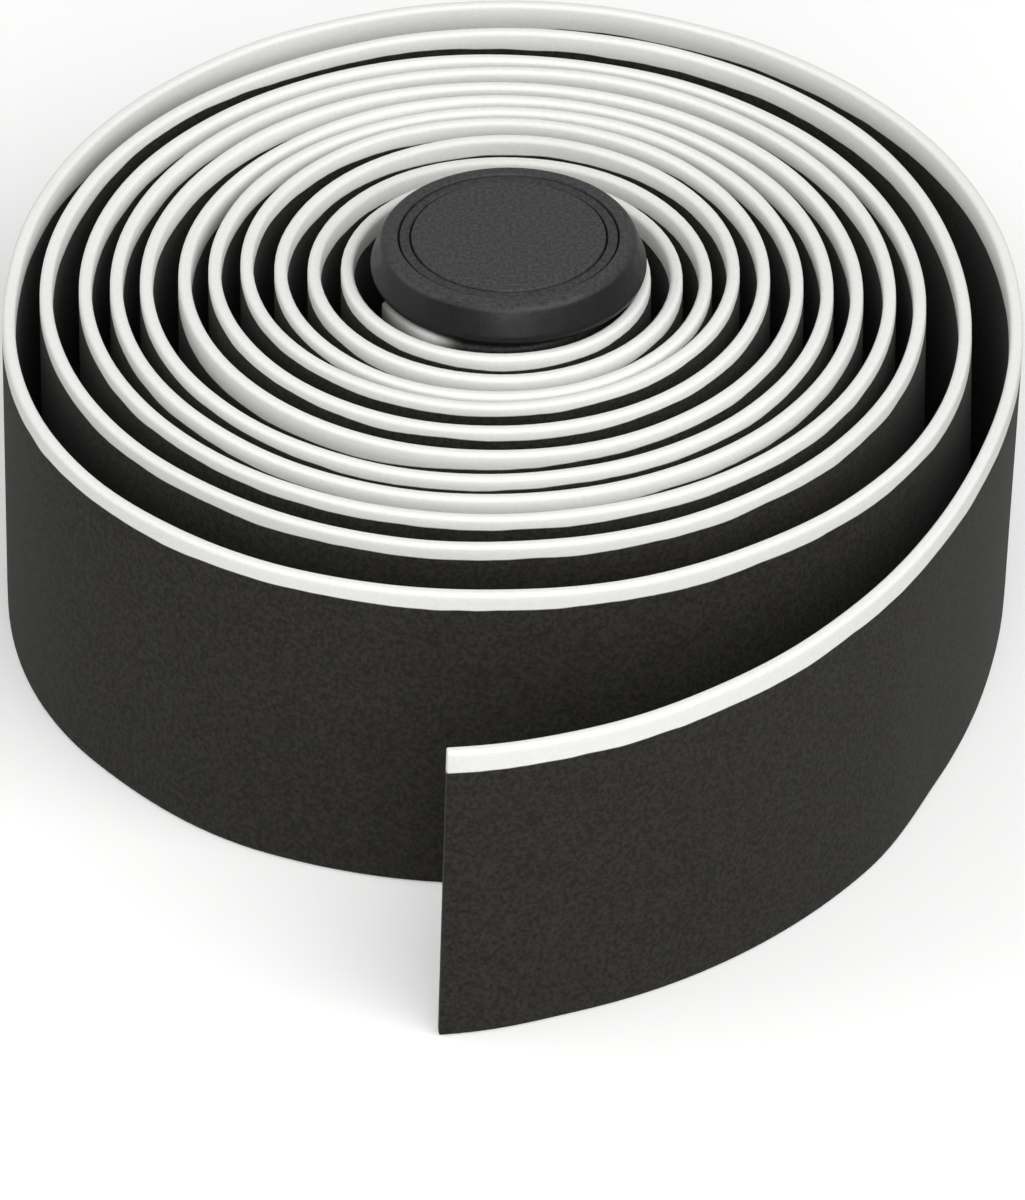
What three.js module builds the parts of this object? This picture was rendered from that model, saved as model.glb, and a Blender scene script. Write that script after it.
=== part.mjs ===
// A roll of handlebar tape, wound loosely by hand and standing on its lower edge,
// with a short strip of the same tape and a bar end plug in its core.
// Millimetres, +Z up. The front is -Y: the tape's free end swings round to it from the right.
// The origin is on the ground, in the middle of the area that the roll covers.

import * as THREE from 'three';

// The tape: a black foam strip whose long edges are tapered, the upper one with a white lip
const TAPE_WIDTH = 30;
const TAPE_THICKNESS = 1.25;
const EDGE_TAPER = 0.1;
const EDGE_HEIGHT = 1.8;

// The winding, measured from the middle of the core. A turn starts and ends at the front,
// and the turns run outward clockwise, seen from above.
const CORE_RADIUS = 10.66;
const PITCH = 2.789;
const FIRST_TURN = 0.6;
const TAIL_TURN = 11.638;
// A loose roll isn't round. Each turn is moved this far forward, from turn 0 on,
const FRONT_SAG = [1.14, 1.11, 1.43, 1.33, 0.1, 1.09, 2.1, 2.93, 3.2, 3.45, 4.94, 1];
// and this far to the left, from a quarter turn later on.
const LEFT_LEAN = [1.02, 0.75, 0.91, 1.09, 1.33, 1.37, 1.2, 1.76, 1.61, 1.55, 2.17, -0.84];
const OVAL = 0.257;
const OVAL_SKEW = 0.069;
// The last full turn stands off the rest by this much, an eighth of a turn apart
const STAND_OFF = [0, 0.42, -0.36, -0.37, 4.68, 8.45, 8.34, 3.15, 1.2, 0.2, -1.29, -0.77];
const STAND_OFF_TURN = 10.375;
const STAND_OFFS_PER_TURN = 8;

// The tail leaves the winding, straightens, and curls towards its free end:
// its bending radii at the start, in the middle and at the end
const TAIL_LENGTH = 128.9;
const TAIL_START_RADIUS = 45;
const TAIL_MIDDLE_RADIUS = 88.3;
const TAIL_END_RADIUS = 42.2;

// The last turn leans: its lower edge stands further out than its upper edge by FOOT_OUT,
// at these distances back from the free end
const FOOT_PLACES = [0, 12, 45, 60, 75, 110, 160, 268, 288, 305, 340, 390];
const FOOT_OUT = [-0.1, -0.8, -0.8, -1.6, -1.6, -0.6, 0, 0, 1.05, 1.2, 0.6, 0];

// The bar end plug: a round flange that covers the end of the bar, on a ribbed shank
const PLUG_X = -0.3;
const PLUG_Y = -1.75;
const FLANGE_RADIUS = 12.35;
const FLANGE_TOP_RADIUS = 11;
const FLANGE_HEIGHT = 3.7;
const FLANGE_FOOT = 0.8;
const TOP_ROUNDING = 0.6;
const RING_RADIUS = 9.65;
const RING_WIDTH = 0.8;
const RING_DEPTH = 0.35;
const SHANK_RADIUS = 8.2;
const SHANK_LENGTH = 21;
const SHANK_CHAMFER = 1.2;
const RIB_COUNT = 4;
const RIB_HEIGHT = 0.8;
const RIB_LENGTH = 1.6;
const SEAT_GAP = 0.3;

// The short strip that covers a brake lever's clamp is curled round the plug's shank.
// Its angles are measured from the front, to the right.
const STRIP_START = -68;
const STRIP_SWEEP = 288;
const STRIP_FRONT_RADIUS = 11.6;
const STRIP_BACK_CLEARANCE = 0.55;
const STRIP_CLOSES_FROM = -20;
const STRIP_CLOSES_BY = 70;

// How finely the curves are divided
const STEPS_PER_TURN = 36;
const TAIL_STEPS = 32;
const HEADING_STEP = 0.001;
const PLUG_SIDES = 48;

function smoothStep(share) {
  const t = THREE.MathUtils.clamp(share, 0, 1);
  return t * t * (3 - 2 * t);
}

// Eases from each value of a list to the next, with one value for each turn
function perTurn(list, turn) {
  const index = THREE.MathUtils.clamp(Math.floor(turn), 0, list.length - 2);
  return THREE.MathUtils.lerp(list[index], list[index + 1], smoothStep(turn - index));
}

const standOffCurve = new THREE.SplineCurve(STAND_OFF.map((value, i) => new THREE.Vector2(i, value)));

function standOff(turn) {
  const share = ((turn - STAND_OFF_TURN) * STAND_OFFS_PER_TURN) / (STAND_OFF.length - 1);
  return standOffCurve.getPoint(THREE.MathUtils.clamp(share, 0, 1)).y;
}

// Distance from the middle of the core to the middle of the tape
function windingRadius(turn) {
  const angle = 2 * Math.PI * turn;
  const sag = perTurn(FRONT_SAG, turn) * Math.cos(angle);
  const lean = perTurn(LEFT_LEAN, turn - 0.25) * Math.sin(angle);
  const oval = OVAL * Math.cos(2 * angle) - OVAL_SKEW * Math.sin(2 * angle);
  return CORE_RADIUS + PITCH * turn + sag + lean + oval + standOff(turn);
}

function windingPoint(turn) {
  const angle = 2 * Math.PI * turn;
  const radius = windingRadius(turn);
  return new THREE.Vector2(-radius * Math.sin(angle), -radius * Math.cos(angle));
}

// How sharply the tail bends at a share of its length
function tailCurvature(share) {
  if (share < 0.5) {
    return THREE.MathUtils.lerp(1 / TAIL_START_RADIUS, 1 / TAIL_MIDDLE_RADIUS, 2 * share);
  }
  return THREE.MathUtils.lerp(1 / TAIL_MIDDLE_RADIUS, 1 / TAIL_END_RADIUS, 2 * share - 1);
}

// The tail, from where it leaves the winding to the free end
function tailPoints() {
  const centre = new THREE.Vector2();
  const point = windingPoint(TAIL_TURN);
  const heading = point.clone().sub(windingPoint(TAIL_TURN - HEADING_STEP)).normalize();
  const step = TAIL_LENGTH / TAIL_STEPS;
  const points = [];
  for (let i = 0; i < TAIL_STEPS; i += 1) {
    const halfBend = (tailCurvature((i + 0.5) / TAIL_STEPS) * step) / 2;
    heading.rotateAround(centre, -halfBend);
    point.addScaledVector(heading, step);
    heading.rotateAround(centre, -halfBend);
    points.push(point.clone());
  }
  return points;
}

function footOut(fromEnd) {
  const after = FOOT_PLACES.findIndex((place) => place > fromEnd);
  if (after < 1) {
    return FOOT_OUT.at(-1);
  }
  const share = (fromEnd - FOOT_PLACES[after - 1]) / (FOOT_PLACES[after] - FOOT_PLACES[after - 1]);
  return THREE.MathUtils.lerp(FOOT_OUT[after - 1], FOOT_OUT[after], smoothStep(share));
}

// Distance of each point of a path from the path's end
function distancesFromEnd(path) {
  const distances = path.map(() => 0);
  for (let i = path.length - 2; i >= 0; i -= 1) {
    distances[i] = distances[i + 1] + path[i].distanceTo(path[i + 1]);
  }
  return distances;
}

// The tape's section, across its thickness (x) and its width (y).
// Its faces run between the two edges, which taper over EDGE_HEIGHT.
function tapeSection() {
  const face = TAPE_THICKNESS / 2;
  const edge = face - EDGE_TAPER;
  return [
    new THREE.Vector2(-edge, 0),
    new THREE.Vector2(edge, 0),
    new THREE.Vector2(face, EDGE_HEIGHT),
    new THREE.Vector2(face, TAPE_WIDTH - EDGE_HEIGHT),
    new THREE.Vector2(edge, TAPE_WIDTH),
    new THREE.Vector2(-edge, TAPE_WIDTH),
    new THREE.Vector2(-face, TAPE_WIDTH - EDGE_HEIGHT),
    new THREE.Vector2(-face, EDGE_HEIGHT),
  ];
}

// Carries the tape's section along a level path, with its foot set outward by feet,
// closes the two cut ends, and keeps the black faces and the white lip as two groups.
function sweepTape(path, feet) {
  const section = tapeSection();
  const count = section.length;
  const positions = [];
  path.forEach((point, i) => {
    const before = path[Math.max(i - 1, 0)];
    const after = path[Math.min(i + 1, path.length - 1)];
    const along = after.clone().sub(before).normalize();
    for (const { x, y } of section) {
      const out = x + feet[i] * (1 - y / TAPE_WIDTH);
      positions.push(point.x - along.y * out, point.y + along.x * out, y);
    }
  });

  const black = [];
  const white = [];
  for (let i = 0; i < path.length - 1; i += 1) {
    for (let k = 0; k < count; k += 1) {
      const next = (k + 1) % count;
      const a = i * count + k;
      const b = i * count + next;
      const isLip = Math.min(section[k].y, section[next].y) > TAPE_WIDTH / 2;
      const faces = isLip ? white : black;
      faces.push(a, b, a + count, b, b + count, a + count);
    }
  }
  const last = (path.length - 1) * count;
  for (const [a, b, c] of THREE.ShapeUtils.triangulateShape(section, [])) {
    black.push(a, c, b, last + a, last + b, last + c);
  }

  const geometry = new THREE.BufferGeometry();
  geometry.setAttribute('position', new THREE.Float32BufferAttribute(positions, 3));
  geometry.setIndex([...black, ...white]);
  geometry.addGroup(0, black.length, 0);
  geometry.addGroup(black.length, white.length, 1);
  geometry.computeVertexNormals();
  return geometry;
}

function tapeMesh(name, path, feet) {
  const foam = new THREE.MeshStandardMaterial({ color: 0x32312f, roughness: 0.85 });
  const whiteLip = new THREE.MeshStandardMaterial({ color: 0xedede8, roughness: 0.6 });
  const mesh = new THREE.Mesh(sweepTape(path, feet), [foam, whiteLip]);
  mesh.name = name;
  return mesh;
}

function buildTape() {
  const steps = Math.round((TAIL_TURN - FIRST_TURN) * STEPS_PER_TURN);
  const path = [];
  for (let i = 0; i <= steps; i += 1) {
    path.push(windingPoint(FIRST_TURN + ((TAIL_TURN - FIRST_TURN) * i) / steps));
  }
  path.push(...tailPoints());
  return tapeMesh('tape', path, distancesFromEnd(path).map(footOut));
}

// The strip lies further out at the front, where its cut end springs away from the shank
function buildLeverStrip() {
  const backRadius = SHANK_RADIUS + RIB_HEIGHT + STRIP_BACK_CLEARANCE + TAPE_THICKNESS / 2;
  const steps = Math.round((STRIP_SWEEP * STEPS_PER_TURN) / 360);
  const path = [];
  for (let i = 0; i <= steps; i += 1) {
    const degrees = STRIP_START + (STRIP_SWEEP * i) / steps;
    const closing = (degrees - STRIP_CLOSES_FROM) / (STRIP_CLOSES_BY - STRIP_CLOSES_FROM);
    const radius = THREE.MathUtils.lerp(STRIP_FRONT_RADIUS, backRadius, smoothStep(closing));
    const angle = THREE.MathUtils.degToRad(degrees);
    path.push(new THREE.Vector2(PLUG_X + radius * Math.sin(angle), PLUG_Y - radius * Math.cos(angle)));
  }
  return tapeMesh('lever_strip', path, path.map(() => 0));
}

// Half of the plug's section, from the bottom of the shank to the middle of the top.
// Height 0 is the underside of the flange.
function plugProfile() {
  const points = [
    [0, -SHANK_LENGTH],
    [SHANK_RADIUS - SHANK_CHAMFER, -SHANK_LENGTH],
    [SHANK_RADIUS, SHANK_CHAMFER - SHANK_LENGTH],
  ];
  const ribPitch = SHANK_LENGTH / (RIB_COUNT + 1);
  for (let i = RIB_COUNT; i > 0; i -= 1) {
    const foot = -ribPitch * i - RIB_LENGTH / 2;
    points.push([SHANK_RADIUS, foot]);
    points.push([SHANK_RADIUS + RIB_HEIGHT, foot + RIB_LENGTH]);
    points.push([SHANK_RADIUS, foot + RIB_LENGTH]);
  }
  points.push(
    [SHANK_RADIUS, 0],
    [FLANGE_RADIUS - FLANGE_FOOT / 2, 0],
    [FLANGE_RADIUS, FLANGE_FOOT],
    [FLANGE_TOP_RADIUS + TOP_ROUNDING / 2, FLANGE_HEIGHT - TOP_ROUNDING],
    [FLANGE_TOP_RADIUS - TOP_ROUNDING / 2, FLANGE_HEIGHT],
    [RING_RADIUS + RING_WIDTH / 2, FLANGE_HEIGHT],
    [RING_RADIUS, FLANGE_HEIGHT - RING_DEPTH],
    [RING_RADIUS - RING_WIDTH / 2, FLANGE_HEIGHT],
    [0, FLANGE_HEIGHT],
  );
  return points.map(([radius, height]) => new THREE.Vector2(radius, height));
}

function buildPlug() {
  const geometry = new THREE.LatheGeometry(plugProfile(), PLUG_SIDES);
  geometry.rotateX(Math.PI / 2);
  const mesh = new THREE.Mesh(geometry, new THREE.MeshStandardMaterial({ color: 0x3b3b3e, roughness: 0.5 }));
  mesh.name = 'bar_end_plug';
  mesh.position.set(PLUG_X, PLUG_Y, TAPE_WIDTH + SEAT_GAP);
  return mesh;
}

const roll = new THREE.Group();
roll.add(buildTape(), buildLeverStrip(), buildPlug());

// The origin goes to the middle of the area that the roll covers
const middle = new THREE.Box3().setFromObject(roll).getCenter(new THREE.Vector3());
roll.position.set(-middle.x, -middle.y, 0);
roll.updateMatrixWorld(true);

export default roll;
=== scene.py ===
# %% [markdown]
# A roll of handlebar tape
#
# Handlebar tape is a strip of soft foam, about 30 mm wide and two metres long, that is wound
# round the bar of a road bicycle for grip. It is sold as a loose roll like this one, with a
# plug for the end of the bar pushed into its core. This lesson dresses the plain CAD roll.

import math

import bpy
import numpy as np
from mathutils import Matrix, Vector


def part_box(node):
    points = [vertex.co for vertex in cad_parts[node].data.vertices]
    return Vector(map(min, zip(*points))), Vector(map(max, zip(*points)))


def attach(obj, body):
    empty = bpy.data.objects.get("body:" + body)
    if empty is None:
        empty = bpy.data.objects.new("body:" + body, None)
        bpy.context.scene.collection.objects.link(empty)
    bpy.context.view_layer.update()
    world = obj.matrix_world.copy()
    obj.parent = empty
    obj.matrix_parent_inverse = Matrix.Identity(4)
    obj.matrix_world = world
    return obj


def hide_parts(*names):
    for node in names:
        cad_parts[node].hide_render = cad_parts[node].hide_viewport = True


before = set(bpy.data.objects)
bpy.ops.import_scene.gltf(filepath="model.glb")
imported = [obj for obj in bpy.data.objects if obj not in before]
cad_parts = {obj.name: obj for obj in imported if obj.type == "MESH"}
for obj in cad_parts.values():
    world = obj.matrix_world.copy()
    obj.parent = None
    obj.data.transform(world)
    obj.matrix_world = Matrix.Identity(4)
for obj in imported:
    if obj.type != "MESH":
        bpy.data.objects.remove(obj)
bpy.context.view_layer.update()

# %% [markdown]
# Every size of the roll is written in millimetres, as on a drawing, and turned into
# Blender's metres where it is used. Colours are written as they look on a screen, in hex,
# and one function turns them into the linear values that the shaders work with.

# %% Units, colours and a helper for nodes
MM = 0.001


def srgb(code):
    """A hex colour such as "EDEDE8" as linear red, green, blue and alpha."""
    channels = [int(code[i:i + 2], 16) / 255 for i in (0, 2, 4)]
    linear = [c / 12.92 if c <= 0.04045 else ((c + 0.055) / 1.055) ** 2.4 for c in channels]
    return (*linear, 1.0)


def add_node(tree, kind, links=None, stops=(), **settings):
    """Adds a node and returns it.

    links maps an input's name or number to a value, a socket, or a node, whose first output
    in use is taken. stops are the (place, hex colour) pairs of a colour ramp.
    """
    node = tree.nodes.new(kind)
    for name, value in settings.items():
        setattr(node, name, value)
    for i, (place, code) in enumerate(stops):
        node.color_ramp.elements[i].position = place
        node.color_ramp.elements[i].color = srgb(code)
    for key, value in (links or {}).items():
        if isinstance(value, bpy.types.Node):
            value = next(socket for socket in value.outputs if socket.enabled)
        if isinstance(value, bpy.types.NodeSocket):
            tree.links.new(value, node.inputs[key])
        else:
            node.inputs[key].default_value = value
    return node


# %% [markdown]
# The camera comes first, because everything is judged through it. It looks down on the roll
# from the front at 34 degrees, through a long lens from 1.5 m away, so that the upright edges
# of the tape stay almost parallel. The frame says where the plug is, and the core of the
# winding is found from it.

# %% Camera
FRAME_HEIGHT_PX = 1200
PIXELS_PER_MM = 11.25
CAMERA_DISTANCE = 1500 * MM
CAMERA_ELEVATION = math.radians(34.0)
SENSOR_WIDTH = 36.0
TAPE_WIDTH = 30.0
# Where the picture shows the middle of the core, at the height of the tape's top edge
AIM_PX = (512.0, 262.0)
CENTRE_PX = (512.5, 600.0)
PLUG_FROM_CORE = np.array([-0.3, -1.75])

plug_low, plug_high = (np.array(corner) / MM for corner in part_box("bar_end_plug"))
CORE_PLACE = ((plug_low + plug_high) / 2)[:2] - PLUG_FROM_CORE
aim = Vector((*CORE_PLACE, TAPE_WIDTH)) * MM

focal_px = PIXELS_PER_MM * CAMERA_DISTANCE / MM
camera_pitch = CAMERA_ELEVATION + math.atan((CENTRE_PX[1] - AIM_PX[1]) / focal_px)
towards_camera = Vector((0, -math.cos(CAMERA_ELEVATION), math.sin(CAMERA_ELEVATION)))

camera_data = bpy.data.cameras.new("long_lens")
# Blender lays the sensor's width along the longer side of the picture, here its height
camera_data.sensor_width = SENSOR_WIDTH
camera_data.lens = focal_px / FRAME_HEIGHT_PX * SENSOR_WIDTH
camera_data.clip_start = 0.1
camera_data.clip_end = 20.0
camera = bpy.data.objects.new("camera", camera_data)
bpy.context.scene.collection.objects.link(camera)
camera.location = aim + CAMERA_DISTANCE * towards_camera
camera.location.x += (CENTRE_PX[0] - AIM_PX[0]) / PIXELS_PER_MM * MM
camera.rotation_euler = (math.pi / 2 - camera_pitch, 0, 0)
bpy.context.scene.camera = camera
print("core at", CORE_PLACE.round(2), "mm, lens", round(camera_data.lens), "mm")

# %% [markdown]
# The winding
#
# A roll wound by hand is not an exact spiral. Its turns touch in some places and stand
# apart in others, and it sags towards the front. A drawn curve could copy that, but a rule
# with named sizes is easier to change: the radius grows evenly with each turn, and two short
# lists say how far each turn has moved forward and to the left. The last turn springs away
# from the rest, and a third list says by how much.

# %% The rule that the winding follows
CORE_RADIUS = 10.66
PITCH = 2.789
FIRST_TURN = 0.6
TAIL_TURN = 11.638
FRONT_SAG = [1.14, 1.11, 1.43, 1.33, 0.1, 1.09, 2.1, 2.93, 3.2, 3.45, 4.94, 1.0]
LEFT_LEAN = [1.02, 0.75, 0.91, 1.09, 1.33, 1.37, 1.2, 1.76, 1.61, 1.55, 2.17, -0.84]
OVAL = 0.257
OVAL_SKEW = 0.069
STAND_OFF = [0, 0.42, -0.36, -0.37, 4.68, 8.45, 8.34, 3.15, 1.2, 0.2, -1.29, -0.77]
STAND_OFF_TURN = 10.375
STAND_OFFS_PER_TURN = 8


def smooth_step(share):
    t = np.clip(share, 0, 1)
    return t * t * (3 - 2 * t)


def per_turn(values, turn):
    """Eases from each value of a list to the next, with one value for each turn."""
    index = np.clip(np.floor(turn).astype(int), 0, len(values) - 2)
    share = smooth_step(turn - index)
    values = np.array(values)
    return values[index] * (1 - share) + values[index + 1] * share


def spline_through(values, place):
    """A smooth curve through a list of values, read at a place between 0 and the last index."""
    values = np.array(values, dtype=float)
    place = np.clip(place, 0, len(values) - 1)
    index = np.minimum(np.floor(place).astype(int), len(values) - 2)
    t = place - index
    start, end = values[index], values[index + 1]
    start_slope = (end - values[np.maximum(index - 1, 0)]) / 2
    end_slope = (values[np.minimum(index + 2, len(values) - 1)] - start) / 2
    square = 3 * (end - start) - 2 * start_slope - end_slope
    cube = 2 * (start - end) + start_slope + end_slope
    return start + start_slope * t + square * t ** 2 + cube * t ** 3


def winding_points(turn):
    """Points in the middle of the tape, measured from the core. Turn 0 is at the front."""
    angle = 2 * math.pi * turn
    radius = CORE_RADIUS + PITCH * turn
    radius += per_turn(FRONT_SAG, turn) * np.cos(angle)
    radius += per_turn(LEFT_LEAN, turn - 0.25) * np.sin(angle)
    radius += OVAL * np.cos(2 * angle) - OVAL_SKEW * np.sin(2 * angle)
    radius += spline_through(STAND_OFF, (turn - STAND_OFF_TURN) * STAND_OFFS_PER_TURN)
    return np.stack([-radius * np.sin(angle), -radius * np.cos(angle)], axis=-1)


# %% [markdown]
# The free end leaves the winding, straightens and curls again. That is a change of bending
# radius, so the line is walked in small steps, each turned by as much as the radius says.

# %% The free end
TAIL_LENGTH = 128.9
TAIL_START_RADIUS = 45.0
TAIL_MIDDLE_RADIUS = 88.3
TAIL_END_RADIUS = 42.2


def tail_points(steps):
    before, start = winding_points(np.array([TAIL_TURN - 0.001, TAIL_TURN]))
    heading = math.atan2(start[1] - before[1], start[0] - before[0])
    step = TAIL_LENGTH / steps
    share = (np.arange(steps) + 0.5) / steps
    bends = [1 / TAIL_START_RADIUS, 1 / TAIL_MIDDLE_RADIUS, 1 / TAIL_END_RADIUS]
    bend = np.interp(share, [0, 0.5, 1], bends) * step
    headings = heading - np.cumsum(bend) + bend / 2
    moves = step * np.stack([np.cos(headings), np.sin(headings)], axis=-1)
    return start + np.cumsum(moves, axis=0)


def even_steps(points, spacing):
    """The same line with its points set at an even distance. Further columns come along."""
    moves = np.linalg.norm(np.diff(points[:, :2], axis=0), axis=1)
    lengths = np.concatenate([[0], np.cumsum(moves)])
    places = np.linspace(0, lengths[-1], round(lengths[-1] / spacing) + 1)
    return np.stack([np.interp(places, lengths, column) for column in points.T], axis=-1)


# %% [markdown]
# Three things change along the tape, and short tables say how. The white lip reaches further
# down the black face on some turns than on others, because the edge was dipped by hand. The
# last turn leans: its lower edge stands further out, or further in, than its upper edge. And
# the free end was cut a little aslant.

# %% The line that the tape follows, with its lip, its lean and its cut
TAPE_THICKNESS = 1.18
PATH_SPACING = 1.4
WINDING_STEPS = 6000
TAIL_STEPS = 400
# How far the lip reaches down at a turn. The free end counts on from TAIL_TURN to 12
LIP_TURNS = [0.6, 1.7, 2.0, 2.4, 3.0, 4.0, 5.0, 5.9, 6.17, 6.5, 7.5, 8.0, 8.4,
             9.0, 10.0, 10.28, 10.35, 10.42, 10.46, 10.5, 10.55, 10.7,
             11.0, 11.25, 11.33, 11.45, 11.5, 11.53, 11.7, 12.0]
LIP_REACH = [1.2, 1.2, 1.55, 1.2, 1.1, 0.95, 1.0, 1.15, 2.3, 1.2, 1.15, 1.55, 1.2,
             1.15, 1.3, 1.3, 0.6, 0.75, 0.95, 1.2, 1.35, 1.45,
             1.5, 1.6, 2.4, 2.2, 2.1, 1.8, 1.85, 2.05]
# How far the foot stands out at a distance from the free end
FOOT_PLACES = [0, 12, 45, 60, 75, 110, 160, 268, 288, 305, 340, 390]
FOOT_OUT = [-0.1, -0.8, -0.8, -1.6, -1.6, -0.6, 0, 0, 1.05, 1.2, 0.6, 0]
# How much further the lower corner of the free end reaches than its upper corner
CUT_SLANT = 0.8
CUT_SLANT_FADES_OVER = 6.0


def eased(place, places, values):
    """Reads a table of places and values, with a smooth ease from each value to the next."""
    places, values = np.array(places, dtype=float), np.array(values, dtype=float)
    place = np.clip(place, places[0], places[-1])
    index = np.clip(np.searchsorted(places, place, side="right") - 1, 0, len(places) - 2)
    share = smooth_step((place - places[index]) / (places[index + 1] - places[index]))
    return values[index] * (1 - share) + values[index + 1] * share


turns = np.linspace(FIRST_TURN, TAIL_TURN, WINDING_STEPS)
tail = tail_points(TAIL_STEPS)
tail_turns = np.linspace(TAIL_TURN, LIP_TURNS[-1], TAIL_STEPS)
tape_line = even_steps(np.column_stack([
    np.concatenate([winding_points(turns), tail]) + CORE_PLACE,
    np.concatenate([turns, tail_turns]),
]), PATH_SPACING)
line_turns = tape_line[:, 2]
tape_line = tape_line[:, :2]
tape_length = PATH_SPACING * (len(tape_line) - 1)
from_free_end = np.linspace(tape_length, 0, len(tape_line))
tape_marks = {
    "lip_reach": eased(line_turns, LIP_TURNS, LIP_REACH) * MM,
    "foot_out": eased(from_free_end, FOOT_PLACES, FOOT_OUT) * MM,
    "white_coat_and_painted_shade": np.ones(len(tape_line)),
    "cut_slant": eased(from_free_end, [0, CUT_SLANT_FADES_OVER], [CUT_SLANT, 0]) * MM,
}
print("tape", round(tape_length), "mm long, in", len(tape_line) - 1, "steps")

# %% [markdown]
# The lever strip
#
# A set of tape has a short strip that covers the clamp of the brake lever, where the tape
# can't reach. Here it is curled round the shank of the plug, inside the core.

# %% The line that the short strip follows
PLUG_PLACE = CORE_PLACE + PLUG_FROM_CORE
STRIP_START = -68.0
STRIP_SWEEP = 288.0
STRIP_FRONT_RADIUS = 11.6
STRIP_BACK_RADIUS = 10.175
STRIP_CLOSES_FROM = -20.0
STRIP_CLOSES_BY = 70.0
STRIP_STEPS = 200
STRIP_SPACING = PATH_SPACING / 2
# Painted shade greys the strip's white towards its end and takes the white away where the strip runs under
# the flange
STRIP_PAINTED_SHADE_PLACES = [0, 3, 6.5, 9.5]
STRIP_WHITE_UNDER_PAINTED_SHADE = [0.15, 0.35, 0.65, 0.0]

strip_degrees = np.linspace(STRIP_START, STRIP_START + STRIP_SWEEP, STRIP_STEPS)
closing = smooth_step((strip_degrees - STRIP_CLOSES_FROM) / (STRIP_CLOSES_BY - STRIP_CLOSES_FROM))
strip_radius = STRIP_FRONT_RADIUS + (STRIP_BACK_RADIUS - STRIP_FRONT_RADIUS) * closing
strip_angle = np.radians(strip_degrees)
strip_line = PLUG_PLACE + np.stack(
    [strip_radius * np.sin(strip_angle), -strip_radius * np.cos(strip_angle)], axis=-1
)
strip_line = even_steps(strip_line, STRIP_SPACING)
from_strip_end = STRIP_SPACING * np.arange(len(strip_line))
strip_marks = {
    "lip_reach": np.full(len(strip_line), LIP_REACH[0] * MM),
    "white_coat_and_painted_shade": eased(from_strip_end, STRIP_PAINTED_SHADE_PLACES, STRIP_WHITE_UNDER_PAINTED_SHADE),
    "foot_out": np.zeros(len(strip_line)),
    "cut_slant": np.zeros(len(strip_line)),
}

# %% [markdown]
# The tape's section
#
# The tape is cut from a foam sheet and one long edge is dipped white. Its section is a tall
# thin rectangle that gets a little thinner towards both edges and has rounded corners.
# It is drawn once and swept along the line with Geometry Nodes.

# %% Section of the tape
EDGE_TAPER = 0.03
TAPER_HEIGHT = 2.6
CORNER_RADIUS = 0.4
CORNER_STEPS = 5
FACE_STEPS = 6
MIDDLE_STEPS = 4


def half_thickness(height):
    """The tape gets thinner near its two long edges."""
    to_edge = np.minimum(height, TAPE_WIDTH - height)
    return TAPE_THICKNESS / 2 - EDGE_TAPER * (1 - smooth_step(to_edge / TAPER_HEIGHT))


def tape_section():
    """Points round the section: x across the thickness and y up the width, anticlockwise."""
    turn = np.linspace(0, math.pi / 2, CORNER_STEPS + 1)
    edge = half_thickness(0.0)
    corner_x = edge - CORNER_RADIUS * (1 - np.sin(turn))
    corner_y = CORNER_RADIUS * (1 - np.cos(turn))
    low_side = np.linspace(CORNER_RADIUS, TAPER_HEIGHT, FACE_STEPS + 1)[1:]
    middle = np.linspace(TAPER_HEIGHT, TAPE_WIDTH / 2, MIDDLE_STEPS + 1)[1:]
    rise = np.concatenate([low_side, middle])
    right_x = np.concatenate([corner_x, half_thickness(rise)])
    right_y = np.concatenate([corner_y, rise])
    # The upper half mirrors the lower half, and the left side mirrors the right side
    right = np.stack([right_x, right_y], axis=-1)
    upper = np.stack([right_x, TAPE_WIDTH - right_y], axis=-1)[-2::-1]
    side = np.concatenate([right, upper])
    return np.concatenate([side, side[::-1] * [-1, 1]])


def line_object(name, points, marks=None, closed=False):
    """A line of edges through flat points, for Geometry Nodes to read, with a value per mark."""
    mesh = bpy.data.meshes.new(name)
    vertices = [(x * MM, y * MM, 0) for x, y in points]
    edges = [(i, i + 1) for i in range(len(points) - 1)]
    if closed:
        edges.append((len(points) - 1, 0))
    mesh.from_pydata(vertices, edges, [])
    for mark, values in (marks or {}).items():
        mesh.attributes.new(mark, "FLOAT", "POINT").data.foreach_set("value", values)
    line = bpy.data.objects.new(name, mesh)
    bpy.context.scene.collection.objects.link(line)
    return line


section_points = tape_section()
section_object = line_object("tape_section", section_points, closed=True)
print("section has", len(section_points), "points")

# %% [markdown]
# Sweeping the section
#
# Curve to Mesh carries the section along the line. The marks on the line come along by
# themselves. The tree adds the place in the section and the directions that point forward
# and out of the roll. Then it moves the swept points: outward at the foot where the turn
# leans, forward at the foot of the slanted cut, and up and down at the top edge, which
# waves as foam that was cut with a knife does.

# %% Geometry Nodes tree that sweeps a tape
# The level of the noise at which the top edge is neither up nor down
WAVE_MIDDLE = 0.4
# A high power of the height keeps the wave near the top edge
WAVE_POWER = 6.0


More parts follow.
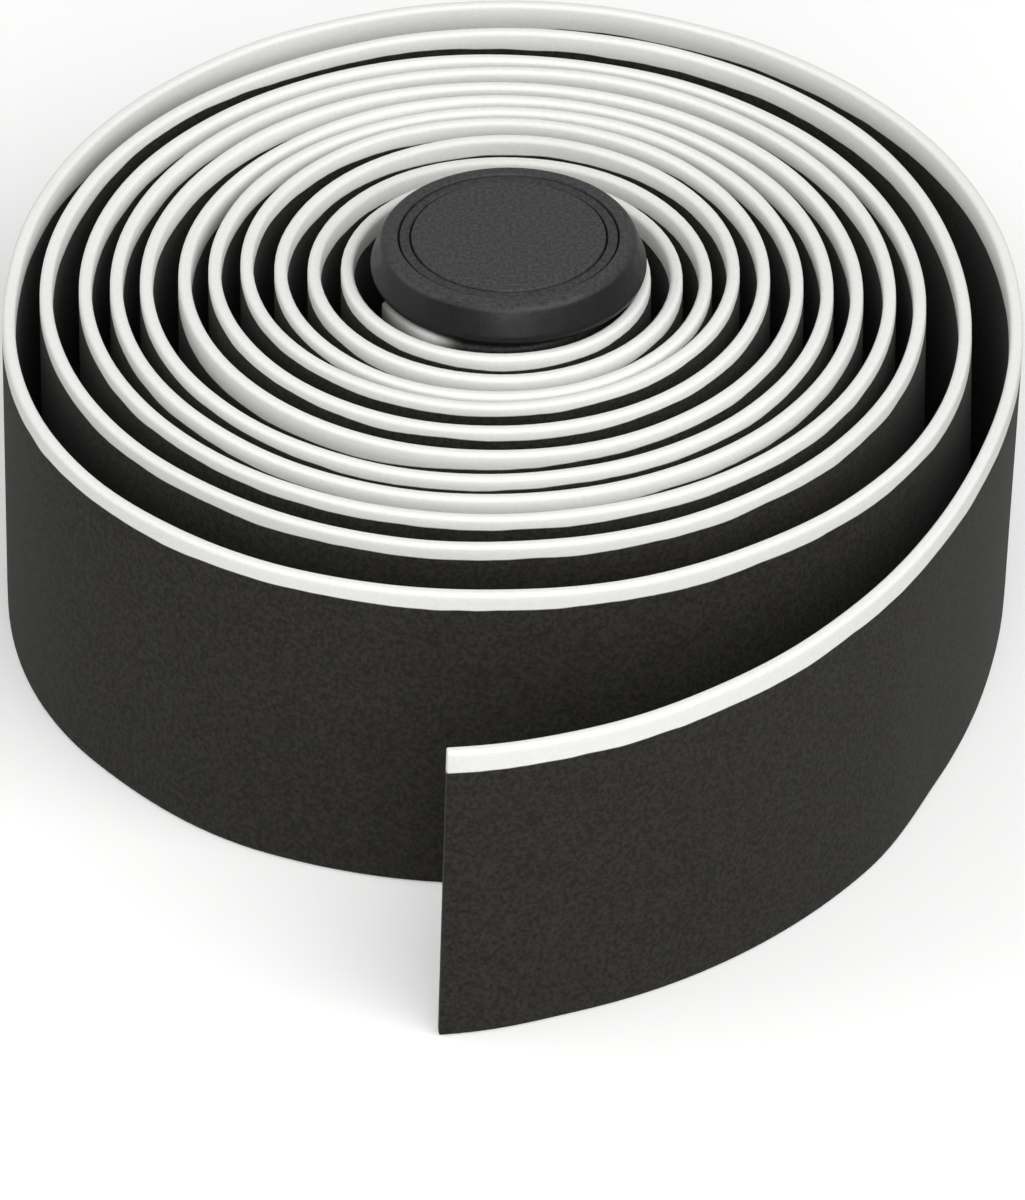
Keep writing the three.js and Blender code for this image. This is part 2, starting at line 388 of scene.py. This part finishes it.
def build_sweep_tree():
    tree = bpy.data.node_groups.new("sweep_tape", "GeometryNodeTree")
    for name, kind in (
        ("Line", "Geometry"), ("Section", "Object"), ("Edge Wave", "Float"),
        ("Edge Wave Length", "Float"), ("Width", "Float"), ("Material", "Material"),
    ):
        tree.interface.new_socket(name, in_out="INPUT", socket_type="NodeSocket" + kind)
    tree.interface.new_socket("Tape", in_out="OUTPUT", socket_type="NodeSocketGeometry")
    given = tree.nodes.new("NodeGroupInput").outputs

    # Half a turn stands the section on its lower edge, with its x pointing out of the roll
    line = add_node(tree, "GeometryNodeMeshToCurve", {"Mesh": given["Line"]})
    upright = add_node(tree, "GeometryNodeSetCurveNormal", {"Curve": line}, mode="Z_UP")
    curve = add_node(tree, "GeometryNodeSetCurveTilt", {"Curve": upright, "Tilt": math.pi})
    along = add_node(tree, "GeometryNodeSplineParameter").outputs["Length"]
    forward = add_node(tree, "GeometryNodeInputTangent")
    outward = add_node(tree, "ShaderNodeVectorMath", {0: forward, 1: (0, 0, -1)}, operation="CROSS_PRODUCT")
    for name, value, data_type in (
        ("along", along, "FLOAT"),
        ("outward", outward, "FLOAT_VECTOR"),
        ("forward", forward, "FLOAT_VECTOR"),
    ):
        curve = add_node(tree, "GeometryNodeStoreNamedAttribute", {
            "Geometry": curve, "Name": name, "Value": value,
        }, data_type=data_type, domain="POINT")

    section_info = add_node(tree, "GeometryNodeObjectInfo", {"Object": given["Section"]})
    section = add_node(tree, "GeometryNodeMeshToCurve", {"Mesh": section_info.outputs["Geometry"]})
    position = add_node(tree, "GeometryNodeInputPosition")
    profile = add_node(tree, "GeometryNodeStoreNamedAttribute", {
        "Geometry": section, "Name": "section_place", "Value": position,
    }, data_type="FLOAT_VECTOR", domain="POINT")
    tape = add_node(tree, "GeometryNodeCurveToMesh", {
        "Curve": curve, "Profile Curve": profile, "Fill Caps": True,
    })

    marks = {
        name: add_node(tree, "GeometryNodeInputNamedAttribute", {"Name": name}, data_type=data_type)
        for name, data_type in (
            ("section_place", "FLOAT_VECTOR"), ("along", "FLOAT"), ("foot_out", "FLOAT"),
            ("cut_slant", "FLOAT"), ("outward", "FLOAT_VECTOR"), ("forward", "FLOAT_VECTOR"),
        )
    }
    place = add_node(tree, "ShaderNodeSeparateXYZ", {0: marks["section_place"]})
    height = add_node(tree, "ShaderNodeMath", {0: place.outputs["Y"], 1: given["Width"]}, operation="DIVIDE")
    depth = add_node(tree, "ShaderNodeMath", {0: 1.0, 1: height}, operation="SUBTRACT")

    # The foot moves by the whole lean and the whole slant, the top edge not at all
    for mark, direction in (("foot_out", "outward"), ("cut_slant", "forward")):
        share = add_node(tree, "ShaderNodeMath", {0: marks[mark], 1: depth}, operation="MULTIPLY")
        move = add_node(tree, "ShaderNodeVectorMath", {
            0: marks[direction], "Scale": share,
        }, operation="SCALE")
        tape = add_node(tree, "GeometryNodeSetPosition", {"Geometry": tape, "Offset": move})

    # The top edge rises and dips, and that fades out below it
    wave_place = add_node(tree, "ShaderNodeMath", {
        0: marks["along"], 1: given["Edge Wave Length"],
    }, operation="DIVIDE")
    wave = add_node(tree, "ShaderNodeTexNoise", {
        "W": wave_place, "Scale": 1.0, "Detail": 1.0,
    }, noise_dimensions="1D")
    level = add_node(tree, "ShaderNodeMath", {0: wave, 1: WAVE_MIDDLE}, operation="SUBTRACT")
    fade = add_node(tree, "ShaderNodeMath", {0: height, 1: WAVE_POWER}, operation="POWER")
    rise = add_node(tree, "ShaderNodeMath", {0: level, 1: given["Edge Wave"]}, operation="MULTIPLY")
    rise = add_node(tree, "ShaderNodeMath", {0: rise, 1: fade}, operation="MULTIPLY")
    offset = add_node(tree, "ShaderNodeCombineXYZ", {"Z": rise})
    tape = add_node(tree, "GeometryNodeSetPosition", {"Geometry": tape, "Offset": offset})

    real = add_node(tree, "GeometryNodeRealizeInstances", {"Geometry": tape})
    painted = add_node(tree, "GeometryNodeSetMaterial", {"Geometry": real, "Material": given["Material"]})
    add_node(tree, "NodeGroupOutput", {"Tape": painted})
    return tree


sweep_tree = build_sweep_tree()

# %% [markdown]
# Foam tape
#
# The tape is a closed-cell polyurethane foam with a soft, suede-like black face. That face
# scatters light widely, so it shows almost no highlight, only a fine grain, small blotches
# and slow changes of tone. The white lip is the same foam, coated. Its lower border
# wanders a little, and the coating shows the foam's cells as very faint dimples.

# %% Foam tape material
# The real grain is about 0.1 mm. It is drawn coarser, so that it shows
GRAIN_MM = 0.22
MOTTLE_MM = 1.4
CLOUD_MM = 12.0
WANDER_MM = 4.0
MOTTLE_SHARE = 0.35
CLOUD_SHARE = 0.25
WHITE_CLOUD_SHARE = 0.5
# The white reaches further down on the side that faces the core
INNER_LIP_EXTRA = 0.5
BORDER_WANDER = 0.35
BORDER_SOFTNESS = 0.05
BLACK_ROUGHNESS = 0.82
WHITE_ROUGHNESS = 0.62
BLACK_SHEEN = 0.06
GRAIN_DEPTH = 0.05
# A noise's spots are about half as wide as its period
SPOT_SHARE = 0.5


def build_foam_tape():
    material = bpy.data.materials.new("polyurethane_foam_tape_black")
    material.use_nodes = True
    tree = material.node_tree
    tree.nodes.clear()
    coordinates = add_node(tree, "ShaderNodeTexCoord").outputs["Object"]
    noise = {
        name: add_node(tree, "ShaderNodeTexNoise", {
            "Vector": coordinates, "Scale": SPOT_SHARE / (size * MM), "Detail": detail, "Roughness": rough,
        })
        for name, size, detail, rough in (
            ("grain", GRAIN_MM, 2.0, 0.75),
            ("cells", GRAIN_MM, 2.0, 0.5),
            ("mottle", MOTTLE_MM, 3.0, 0.6),
            ("clouds", CLOUD_MM, 2.0, 0.5),
            ("wander", WANDER_MM, 2.0, 0.5),
        )
    }

    # How far below the top edge this point is, and how far down the white reaches here
    place = add_node(tree, "ShaderNodeAttribute", attribute_name="section_place")
    split = add_node(tree, "ShaderNodeSeparateXYZ", {0: place.outputs["Vector"]})
    below_top = add_node(tree, "ShaderNodeMath", {
        0: TAPE_WIDTH * MM, 1: split.outputs["Y"],
    }, operation="SUBTRACT")
    reach = add_node(tree, "ShaderNodeAttribute", attribute_name="lip_reach").outputs["Fac"]
    inward = add_node(tree, "ShaderNodeMath", {0: split.outputs["X"], 1: 0.0}, operation="LESS_THAN")
    reach = add_node(tree, "ShaderNodeMath", {
        0: inward, 1: INNER_LIP_EXTRA * MM, 2: reach,
    }, operation="MULTIPLY_ADD")
    wander = add_node(tree, "ShaderNodeMath", {0: noise["wander"], 1: 0.5}, operation="SUBTRACT")
    reach = add_node(tree, "ShaderNodeMath", {
        0: wander, 1: 2 * BORDER_WANDER * MM, 2: reach,
    }, operation="MULTIPLY_ADD")
    white_share = add_node(tree, "ShaderNodeMapRange", {
        "Value": add_node(tree, "ShaderNodeMath", {0: reach, 1: below_top}, operation="SUBTRACT"),
        "From Min": -BORDER_SOFTNESS * MM, "From Max": BORDER_SOFTNESS * MM,
    })

    # The black face has grain, mottle and clouds, and the coating shows the foam's cells
    colour = {
        name: add_node(tree, "ShaderNodeValToRGB", {"Fac": noise[source]}, stops=(low, high))
        for name, source, low, high in (
            ("black_grain", "grain", (0.38, "0F0E0C"), (0.62, "393733")),
            ("black_mottle", "mottle", (0.35, "211F1D"), (0.65, "282724")),
            ("black_clouds", "clouds", (0.3, "22211E"), (0.7, "262522")),
            ("white_cells", "cells", (0.3, "E9E9E5"), (0.7, "F3F3F0")),
            ("white_clouds", "clouds", (0.35, "ECECE8"), (0.65, "F2F2EF")),
        )
    }
    # On the lever strip this factor is painted shade: it greys the white towards the strip's end and turns
    # it black under the flange. On the tape it is 1
    white_coat_and_painted_shade = add_node(tree, "ShaderNodeAttribute", attribute_name="white_coat_and_painted_shade").outputs["Fac"]
    for result, factor, first, second in (
        ("black", MOTTLE_SHARE, "black_grain", "black_mottle"),
        ("black", CLOUD_SHARE, "black", "black_clouds"),
        ("white", WHITE_CLOUD_SHARE, "white_cells", "white_clouds"),
        ("white", white_coat_and_painted_shade, "black", "white"),
        ("both", white_share, "black", "white"),
    ):
        colour[result] = add_node(tree, "ShaderNodeMix", {
            "Factor": factor, 6: colour[first], 7: colour[second],
        }, data_type="RGBA")

    roughness = add_node(tree, "ShaderNodeMapRange", {
        "Value": white_share, "To Min": BLACK_ROUGHNESS, "To Max": WHITE_ROUGHNESS,
    })
    sheen = add_node(tree, "ShaderNodeMapRange", {
        "Value": white_share, "To Min": BLACK_SHEEN, "To Max": 0.0,
    })
    bump = add_node(tree, "ShaderNodeBump", {
        "Strength": 0.4, "Distance": GRAIN_DEPTH * MM, "Height": noise["grain"],
    })
    surface = add_node(tree, "ShaderNodeBsdfPrincipled", {
        "Base Color": colour["both"],
        "Roughness": roughness,
        "Specular IOR Level": 0.25,
        "Sheen Weight": sheen,
        "Sheen Roughness": 0.5,
        "Normal": bump,
    })
    add_node(tree, "ShaderNodeOutputMaterial", {"Surface": surface})
    return material


foam_tape = build_foam_tape()

# %% [markdown]
# Now the tree runs on both lines. The result is taken as a plain mesh, because only plain
# meshes keep their shape in every program that the part goes to.

# %% Make the tape and the lever strip
EDGE_WAVE = 0.3
EDGE_WAVE_LENGTH = 22.0
CUT_BEVEL = 0.12
BEVEL_FROM_ANGLE = math.radians(60)
SHARP_FROM_ANGLE = math.radians(50)


def sweep_tape(name, points, marks):
    """Runs the tree on a line and returns the swept tape as a plain mesh object."""
    line = line_object(name + "_line", points, marks)
    modifier = line.modifiers.new("sweep", "NODES")
    modifier.node_group = sweep_tree
    inputs = {
        "Section": section_object,
        "Edge Wave": EDGE_WAVE * MM,
        "Edge Wave Length": EDGE_WAVE_LENGTH * MM,
        "Width": TAPE_WIDTH * MM,
        "Material": foam_tape,
    }
    for item in sweep_tree.interface.items_tree:
        if item.in_out == "INPUT" and item.name in inputs:
            modifier[item.identifier] = inputs[item.name]
    # A knife leaves a small soft edge round each cut end
    bevel = line.modifiers.new("cut_ends", "BEVEL")
    bevel.width = CUT_BEVEL * MM
    bevel.segments = 2
    bevel.limit_method = "ANGLE"
    bevel.angle_limit = BEVEL_FROM_ANGLE
    bpy.context.view_layer.update()
    evaluated = line.evaluated_get(bpy.context.evaluated_depsgraph_get())
    mesh = bpy.data.meshes.new_from_object(evaluated)
    mesh.name = name
    bpy.data.objects.remove(line)
    mesh.shade_smooth()
    mesh.set_sharp_from_angle(angle=SHARP_FROM_ANGLE)
    tape = bpy.data.objects.new(name, mesh)
    bpy.context.scene.collection.objects.link(tape)
    corner = np.array([tape.bound_box[0], tape.bound_box[6]]) / MM
    print(name, len(mesh.polygons), "faces, from", corner[0].round(2), "to", corner[1].round(2))
    return tape


tape = sweep_tape("wound_tape", tape_line, tape_marks)
lever_strip = sweep_tape("curled_lever_strip", strip_line, strip_marks)
bpy.data.objects.remove(section_object)

# %% [markdown]
# The bar end plug
#
# The plug is injection moulded. Its flange covers the open end of the bar, with a fine
# spark-eroded grain on top, a narrow ring groove near its rim and a smooth rounded side.
# Being round, it is a profile turned about its axis.

# %% Profile of the plug
FLANGE_RADIUS = 12.35
FLANGE_TOP_RADIUS = 11.0
FLANGE_HEIGHT = 3.7
FLANGE_FOOT_INSET = 0.35
FLANGE_RIM_HEIGHT = 0.8
FLANGE_SHOULDER = 0.25
RING_RADIUS = 9.25
RING_WIDTH = 1.05
RING_DEPTH = 0.1
RING_LINE_DEPTH = 0.45
RING_LINE_WIDTH = 0.24
SHANK_RADIUS = 8.2
SHANK_LENGTH = 21.0
SHANK_CHAMFER = 1.2
RIB_COUNT = 4
RIB_HEIGHT = 0.8
RIB_LENGTH = 1.6
PLUG_SEAT = 30.3
PLUG_SIDES = 128


def rounded(corners, steps=5):
    """A line through (point, rounding) pairs, with a curve of that rounding in each corner."""
    points = [Vector(point) for point, _ in corners]
    path = [tuple(points[0])]
    for before, corner, after, (_, rounding) in zip(points, points[1:], points[2:], corners[1:]):
        back, on = before - corner, after - corner
        reach = min(rounding, back.length / 2, on.length / 2)
        start = corner + back.normalized() * reach
        end = corner + on.normalized() * reach
        for i in range(steps + 1):
            t = i / steps
            path.append(tuple(start * (1 - t) ** 2 + corner * 2 * t * (1 - t) + end * t ** 2))
    path.append(tuple(points[-1]))
    return path


def plug_profile():
    """From the bottom of the shank to the middle of the top, height 0 under the flange."""
    corners = [
        ((0, -SHANK_LENGTH), 0),
        ((SHANK_RADIUS - SHANK_CHAMFER, -SHANK_LENGTH), 0.4),
        ((SHANK_RADIUS, SHANK_CHAMFER - SHANK_LENGTH), 0.4),
    ]
    rib_pitch = SHANK_LENGTH / (RIB_COUNT + 1)
    for i in range(RIB_COUNT, 0, -1):
        foot = -rib_pitch * i - RIB_LENGTH / 2
        corners += [
            ((SHANK_RADIUS, foot), 0.2),
            ((SHANK_RADIUS + RIB_HEIGHT, foot + RIB_LENGTH), 0.15),
            ((SHANK_RADIUS, foot + RIB_LENGTH), 0.1),
        ]
    # The ring is a shallow groove with a fine deep line along each of its edges
    groove_height = FLANGE_HEIGHT - RING_DEPTH
    line_bottom = FLANGE_HEIGHT - RING_LINE_DEPTH
    outer_line = RING_RADIUS + RING_WIDTH / 2
    inner_line = RING_RADIUS - RING_WIDTH / 2
    half = RING_LINE_WIDTH / 2
    corners += [
        ((SHANK_RADIUS, 0), 0.1),
        ((FLANGE_RADIUS - FLANGE_FOOT_INSET, 0), 0.3),
        ((FLANGE_RADIUS, FLANGE_RIM_HEIGHT), 0.6),
        ((FLANGE_TOP_RADIUS + FLANGE_SHOULDER, FLANGE_HEIGHT), 0.9),
        ((outer_line + half, FLANGE_HEIGHT), 0.05),
        ((outer_line, line_bottom), 0.03),
        ((outer_line - half, groove_height), 0.05),
        ((inner_line + half, groove_height), 0.05),
        ((inner_line, line_bottom), 0.03),
        ((inner_line - half, FLANGE_HEIGHT), 0.05),
        ((0, FLANGE_HEIGHT), 0),
    ]
    return rounded(corners)


def turned_object(name, profile, centre, height, sides):
    """Turns a profile of (radius, height) points, which starts and ends on the axis."""
    angles = np.linspace(0, 2 * math.pi, sides, endpoint=False)
    inner = profile[1:-1]
    rings = [
        (centre[0] + r * math.cos(a), centre[1] + r * math.sin(a), height + z)
        for r, z in inner for a in angles
    ]
    bottom = (centre[0], centre[1], height + profile[0][1])
    top = (centre[0], centre[1], height + profile[-1][1])
    vertices = np.array([*rings, bottom, top]) * MM
    count = len(rings)
    faces = []
    for k in range(sides):
        after = (k + 1) % sides
        faces.append((count, after, k))
        last = count - sides
        faces.append((count + 1, last + k, last + after))
        for row in range(len(inner) - 1):
            low, high = row * sides, (row + 1) * sides
            faces.append((low + k, low + after, high + after, high + k))
    mesh = bpy.data.meshes.new(name)
    mesh.from_pydata(vertices.tolist(), [], faces)
    mesh.shade_smooth()
    turned = bpy.data.objects.new(name, mesh)
    bpy.context.scene.collection.objects.link(turned)
    return turned


# %% [markdown]
# Moulded plug plastic
#
# The plug is a soft black plastic such as polyethylene, with an IOR of about 1.5. Its top
# comes from a spark-eroded face of the mould, which leaves a fine grain. Its side comes from a
# polished one, and it catches a soft patchy highlight. The side is painted much darker than
# the top, which is painted shade, and so are the bottoms of the fine ring lines.

# %% Plug material
# A fine spark-eroded grain is under 0.1 mm. It is drawn coarser, so that it shows
MOULD_GRAIN_MM = 0.17
MOULD_GRAIN_DEPTH = 0.05
PATCH_MM = 0.6
# The depth below the top where the painted shade and the polished side's roughness and shine begin
SIDE_STARTS_BELOW_TOP = 0.55
TOP_ROUGHNESS = 0.55
SIDE_ROUGHNESS = (0.25, 0.6)


def build_plug_plastic():
    material = bpy.data.materials.new("moulded_polyethylene_slate")
    material.use_nodes = True
    tree = material.node_tree
    tree.nodes.clear()
    coordinates = add_node(tree, "ShaderNodeTexCoord").outputs["Object"]
    grain = add_node(tree, "ShaderNodeTexNoise", {
        "Vector": coordinates, "Scale": SPOT_SHARE / (MOULD_GRAIN_MM * MM), "Detail": 3.0, "Roughness": 0.6,
    })
    patches = add_node(tree, "ShaderNodeTexNoise", {
        "Vector": coordinates, "Scale": SPOT_SHARE / (PATCH_MM * MM), "Detail": 3.0, "Roughness": 0.5,
    })
    top_height = (PLUG_SEAT + FLANGE_HEIGHT) * MM
    place = add_node(tree, "ShaderNodeSeparateXYZ", {0: coordinates})
    top_share = add_node(tree, "ShaderNodeMapRange", {
        "Value": place.outputs["Z"],
        "From Min": top_height - SIDE_STARTS_BELOW_TOP * MM, "From Max": top_height,
    })
    # Below the top the colour turns to a much darker copy of the same grain: painted shade on the side and
    # in the bottoms of the fine ring lines, which lie within that depth
    top_colour = add_node(tree, "ShaderNodeValToRGB", {"Fac": grain},
                          stops=((0.35, "28282A"), (0.65, "454547")))
    painted_shade_side_colour = add_node(tree, "ShaderNodeValToRGB", {"Fac": grain},
                           stops=((0.35, "090909"), (0.65, "0F0F10")))
    colour = add_node(tree, "ShaderNodeMix", {
        "Factor": top_share, 6: painted_shade_side_colour, 7: top_colour,
    }, data_type="RGBA")
    side_roughness = add_node(tree, "ShaderNodeMapRange", {
        "Value": patches, "To Min": SIDE_ROUGHNESS[0], "To Max": SIDE_ROUGHNESS[1],
    })
    roughness = add_node(tree, "ShaderNodeMix", {
        "Factor": top_share, "A": side_roughness, "B": TOP_ROUGHNESS,
    })
    shine = add_node(tree, "ShaderNodeMapRange", {"Value": top_share, "To Min": 0.35, "To Max": 0.5})
    bump = add_node(tree, "ShaderNodeBump", {
        "Strength": 0.4, "Distance": MOULD_GRAIN_DEPTH * MM, "Height": grain,
    })
    surface = add_node(tree, "ShaderNodeBsdfPrincipled", {
        "Base Color": colour, "Roughness": roughness, "Specular IOR Level": shine, "Normal": bump,
    })
    add_node(tree, "ShaderNodeOutputMaterial", {"Surface": surface})
    return material


plug_plastic = build_plug_plastic()
plug = turned_object("moulded_bar_end_plug", plug_profile(), PLUG_PLACE, PLUG_SEAT, PLUG_SIDES)
plug.data.materials.append(plug_plastic)

# %% [markdown]
# A studio
#
# The floor and the world are white to the camera. The large lamps are soft, so the roll
# throws only a faint shadow, and a small low one puts the highlight on the plug's side.
# Light that reaches the roll by way of the floor comes from a duller paper. White paper
# would light the outer faces from below, and the crevices would look too dark beside them.

# %% Floor, world and lamps
# The floor and the lamps are measured in metres, and the gap under the roll in millimetres
FLOOR_SIZE = 6.0
FLOOR_BELOW_ROLL = 0.02
PAPER_SEEN = "F2F2F1"
PAPER_GLOW = 0.2
PAPER_BOUNCE = "A0A09F"
WORLD_STRENGTH = 0.38
LAMP_DISTANCE = 1.3
# Name, azimuth (0 is in front and 90 at the right), elevation, size, power in watts
LAMPS = (
    ("front_softbox", 0, 34, 0.9, 6.9),
    ("low_front_softbox", 6, 13, 0.4, 1.4),
    ("right_softbox", 50, 42, 0.9, 8.2),
    ("left_softbox", -90, 28, 0.9, 4.8),
)


def build_floor():
    mesh = bpy.data.meshes.new("floor")
    half, height = FLOOR_SIZE / 2, -FLOOR_BELOW_ROLL * MM
    corners = [(-half, -half, height), (half, -half, height), (half, half, height), (-half, half, height)]
    mesh.from_pydata(corners, [], [(0, 1, 2, 3)])
    floor = bpy.data.objects.new("floor", mesh)
    bpy.context.scene.collection.objects.link(floor)
    material = bpy.data.materials.new("white_paper_floor")
    material.use_nodes = True
    tree = material.node_tree
    tree.nodes.clear()
    paper = add_node(tree, "ShaderNodeBsdfDiffuse", {"Color": srgb(PAPER_SEEN)})
    glow = add_node(tree, "ShaderNodeEmission", {"Color": srgb("FFFFFF"), "Strength": PAPER_GLOW})
    seen = add_node(tree, "ShaderNodeAddShader", {0: paper, 1: glow})
    bounce = add_node(tree, "ShaderNodeBsdfDiffuse", {"Color": srgb(PAPER_BOUNCE)})
    rays = add_node(tree, "ShaderNodeLightPath")
    mixed = add_node(tree, "ShaderNodeMixShader", {0: rays.outputs["Is Camera Ray"], 1: bounce, 2: seen})
    add_node(tree, "ShaderNodeOutputMaterial", {"Surface": mixed})
    mesh.materials.append(material)
    return floor


def build_world():
    world = bpy.data.worlds.new("soft_studio")
    bpy.context.scene.world = world
    world.use_nodes = True
    tree = world.node_tree
    tree.nodes.clear()
    lit = add_node(tree, "ShaderNodeBackground", {"Color": srgb("FFFFFF"), "Strength": WORLD_STRENGTH})
    seen = add_node(tree, "ShaderNodeBackground", {"Color": srgb("FFFFFF"), "Strength": 1.0})
    rays = add_node(tree, "ShaderNodeLightPath")
    mixed = add_node(tree, "ShaderNodeMixShader", {0: rays.outputs["Is Camera Ray"], 1: lit, 2: seen})
    add_node(tree, "ShaderNodeOutputWorld", {"Surface": mixed})


def add_lamp(name, azimuth, elevation, size, power):
    """A square soft lamp that points at the roll."""
    data = bpy.data.lights.new(name, "AREA")
    data.shape = "SQUARE"
    data.size = size
    data.energy = power
    lamp = bpy.data.objects.new(name, data)
    bpy.context.scene.collection.objects.link(lamp)
    turn, rise = math.radians(azimuth), math.radians(elevation)
    lamp.location = LAMP_DISTANCE * Vector((
        math.sin(turn) * math.cos(rise), -math.cos(turn) * math.cos(rise), math.sin(rise),
    ))
    lamp.rotation_euler = (-lamp.location).to_track_quat("-Z", "Y").to_euler()


floor = build_floor()
build_world()
for lamp in LAMPS:
    add_lamp(*lamp)
bpy.context.scene.view_settings.view_transform = "Standard"

# %% [markdown]
# Last, each dressed piece is tied to the frame: it rides on the roll's only body, and the CAD
# solid that it stands for is hidden.

# %% Tie the pieces to the frame
for piece, node, slot in (
    (tape, "tape", "foam_tape"),
    (lever_strip, "lever_strip", "foam_tape"),
    (plug, "bar_end_plug", "plug_plastic"),
):
    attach(piece, "root")
    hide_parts(node)
